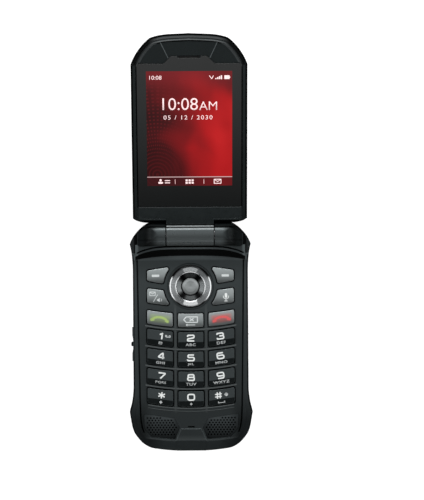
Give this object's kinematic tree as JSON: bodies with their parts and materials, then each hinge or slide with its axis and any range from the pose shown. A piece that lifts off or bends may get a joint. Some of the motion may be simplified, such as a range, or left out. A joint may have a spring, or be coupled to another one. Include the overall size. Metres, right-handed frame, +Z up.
{
  "type": "flip phone",
  "caption": "Rugged clamshell mobile phone, open and lying on its back, with keypad, navigation ring, front loudspeakers and a tall colour screen in the lid.",
  "frame": {"origin": "centre of the flat back of the keypad half, on the surface it lies on", "axes": "+Z up from the back towards the keys, +Y from the microphone end to the hinge and the open lid, +X to the right of someone facing the keys"},
  "size_m": [0.059, 0.196, 0.033],
  "materials": {
    "housing_front": "fine satin texture",
    "housing_rear": "fine grained, soft touch",
    "lid_inner": "satin with polished rim",
    "key_dark": "lightly grained top, darker sloped foot",
    "key_grey": "metallic grey lacquer",
    "nav_chrome": "satin chrome with bright edges",
    "inner_black": "moulded",
    "grille_black": "black lacquer, perforated",
    "seal_rubber": "matte",
    "screw_steel": "blackened",
    "hinge_steel": "ground",
    "sheet_metal": "rolled sheet",
    "weight_metal": "sintered",
    "circuit_board": "solder mask",
    "battery_case": "moulded case",
    "screen_glass": "polished, black border",
    "display_panel": "polished",
    "flex_film": "amber film"
  },
  "bodies": {
    "base": {"antenna": "inner_black", "base_front_housing": "housing_front", "base_rear_housing": "housing_rear", "base_screws": "screw_steel", "battery": "battery_case", "battery_contacts": "inner_black", "battery_cover": "housing_rear", "battery_cover_seal": "seal_rubber", "card_socket": "sheet_metal", "dome_sheet": "sheet_metal", "hinge_bush": "hinge_steel", "hinge_drive_pin": "hinge_steel", "housing_seal": "seal_rubber", "keypad_web": "seal_rubber", "loudspeakers": "inner_black", "main_board": "circuit_board", "microphone": "seal_rubber", "shield_can": "sheet_metal", "speaker_grilles": "grille_black", "usb_receptacle": "sheet_metal", "vibration_motor": "sheet_metal"},
    "lid": {"lid_inner_housing": "lid_inner", "lid_outer_housing": "housing_rear", "main_lens": "screen_glass", "display_module": "display_panel", "outer_lens": "screen_glass", "outer_display": "display_panel", "camera_module": "inner_black", "earpiece": "inner_black", "lid_board": "circuit_board", "lid_screws": "screw_steel", "hinge_cartridge": "hinge_steel", "lid_flex": "flex_film"},
    "key_1": {"key_1": "key_dark"},
    "key_2": {"key_2": "key_dark"},
    "key_3": {"key_3": "key_dark"},
    "key_4": {"key_4": "key_dark"},
    "key_5": {"key_5": "key_dark"},
    "key_6": {"key_6": "key_dark"},
    "key_7": {"key_7": "key_dark"},
    "key_8": {"key_8": "key_dark"},
    "key_9": {"key_9": "key_dark"},
    "key_star": {"key_star": "key_dark"},
    "key_0": {"key_0": "key_dark"},
    "key_pound": {"key_pound": "key_dark"},
    "key_send": {"key_send": "key_grey"},
    "key_clear": {"key_clear": "key_grey"},
    "key_end": {"key_end": "key_grey"},
    "key_soft_left": {"key_soft_left": "key_grey"},
    "key_soft_right": {"key_soft_right": "key_grey"},
    "key_message": {"key_message": "key_grey"},
    "key_voice": {"key_voice": "key_grey"},
    "nav_actuator": {"nav_actuator": "inner_black"},
    "nav_ring": {"nav_ring": "nav_chrome"},
    "nav_ok_key": {"nav_ok_key": "key_grey"},
    "volume_rocker": {"volume_rocker": "housing_front"},
    "usb_port_cover": {"usb_port_cover": "seal_rubber"},
    "battery_cover_lock": {"battery_cover_lock": "screw_steel"},
    "vibration_weight": {"vibration_weight": "weight_metal"}
  },
  "joints": [
    {"name": "lid_hinge", "type": "hinge", "parent": "base", "child": "lid", "pos_m": [0, 0.048, 0.016], "axis": [1, 0, 0], "range_deg": [0, 170]},
    {"name": "key_1_press", "type": "slide", "parent": "base", "child": "key_1", "axis": [0, 0, -1], "range_m": [0, 0.00045], "stiffness_N_per_m": 2000},
    {"name": "key_2_press", "type": "slide", "parent": "base", "child": "key_2", "axis": [0, 0, -1], "range_m": [0, 0.00045], "stiffness_N_per_m": 2000},
    {"name": "key_3_press", "type": "slide", "parent": "base", "child": "key_3", "axis": [0, 0, -1], "range_m": [0, 0.00045], "stiffness_N_per_m": 2000},
    {"name": "key_4_press", "type": "slide", "parent": "base", "child": "key_4", "axis": [0, 0, -1], "range_m": [0, 0.00045], "stiffness_N_per_m": 2000},
    {"name": "key_5_press", "type": "slide", "parent": "base", "child": "key_5", "axis": [0, 0, -1], "range_m": [0, 0.00045], "stiffness_N_per_m": 2000, "deforming": ["keypad_web"]},
    {"name": "key_6_press", "type": "slide", "parent": "base", "child": "key_6", "axis": [0, 0, -1], "range_m": [0, 0.00045], "stiffness_N_per_m": 2000},
    {"name": "key_7_press", "type": "slide", "parent": "base", "child": "key_7", "axis": [0, 0, -1], "range_m": [0, 0.00045], "stiffness_N_per_m": 2000},
    {"name": "key_8_press", "type": "slide", "parent": "base", "child": "key_8", "axis": [0, 0, -1], "range_m": [0, 0.00045], "stiffness_N_per_m": 2000},
    {"name": "key_9_press", "type": "slide", "parent": "base", "child": "key_9", "axis": [0, 0, -1], "range_m": [0, 0.00045], "stiffness_N_per_m": 2000},
    {"name": "key_star_press", "type": "slide", "parent": "base", "child": "key_star", "axis": [0, 0, -1], "range_m": [0, 0.00045], "stiffness_N_per_m": 2000},
    {"name": "key_0_press", "type": "slide", "parent": "base", "child": "key_0", "axis": [0, 0, -1], "range_m": [0, 0.00045], "stiffness_N_per_m": 2000},
    {"name": "key_pound_press", "type": "slide", "parent": "base", "child": "key_pound", "axis": [0, 0, -1], "range_m": [0, 0.00045], "stiffness_N_per_m": 2000},
    {"name": "key_send_press", "type": "slide", "parent": "base", "child": "key_send", "axis": [0, 0, -1], "range_m": [0, 0.00045], "stiffness_N_per_m": 2000},
    {"name": "key_clear_press", "type": "slide", "parent": "base", "child": "key_clear", "axis": [0, 0, -1], "range_m": [0, 0.00045], "stiffness_N_per_m": 2000},
    {"name": "key_end_press", "type": "slide", "parent": "base", "child": "key_end", "axis": [0, 0, -1], "range_m": [0, 0.00045], "stiffness_N_per_m": 2000},
    {"name": "key_soft_left_press", "type": "slide", "parent": "base", "child": "key_soft_left", "axis": [0, 0, -1], "range_m": [0, 0.00045], "stiffness_N_per_m": 2000},
    {"name": "key_soft_right_press", "type": "slide", "parent": "base", "child": "key_soft_right", "axis": [0, 0, -1], "range_m": [0, 0.00045], "stiffness_N_per_m": 2000},
    {"name": "key_message_press", "type": "slide", "parent": "base", "child": "key_message", "axis": [0, 0, -1], "range_m": [0, 0.00045], "stiffness_N_per_m": 2000},
    {"name": "key_voice_press", "type": "slide", "parent": "base", "child": "key_voice", "axis": [0, 0, -1], "range_m": [0, 0.00045], "stiffness_N_per_m": 2000},
    {"name": "nav_up_down_rock", "type": "hinge", "parent": "base", "child": "nav_actuator", "pos_m": [0, 0.02343, 0.01095], "axis": [1, 0, 0], "range_deg": [-1.8, 1.8], "stiffness_Nm_per_rad": 0.3},
    {"name": "nav_left_right_rock", "type": "hinge", "parent": "nav_actuator", "child": "nav_ring", "pos_m": [0, 0.02343, 0.0111], "axis": [0, 1, 0], "range_deg": [-1.8, 1.8], "stiffness_Nm_per_rad": 0.3},
    {"name": "nav_ok_press", "type": "slide", "parent": "base", "child": "nav_ok_key", "axis": [0, 0, -1], "range_m": [0, 0.0004], "stiffness_N_per_m": 2000},
    {"name": "volume_rock", "type": "hinge", "parent": "base", "child": "volume_rocker", "pos_m": [-0.02665, -0.00405, 0.0093], "axis": [0, 0, 1], "range_deg": [-2.2, 2.2], "stiffness_Nm_per_rad": 0.15},
    {"name": "port_cover_swing", "type": "hinge", "parent": "base", "child": "usb_port_cover", "pos_m": [0.02705, 0.0006, 0.00945], "axis": [0, 0, 1], "range_deg": [0, 90]},
    {"name": "cover_lock_turn", "type": "hinge", "parent": "base", "child": "battery_cover_lock", "pos_m": [0, 0.0297, 0.002], "axis": [0, 0, 1], "range_deg": [0, 90]},
    {"name": "vibration_spin", "type": "hinge", "parent": "base", "child": "vibration_weight", "pos_m": [0, -0.0465, 0.00495], "axis": [0, 1, 0], "continuous": true}
  ]
}
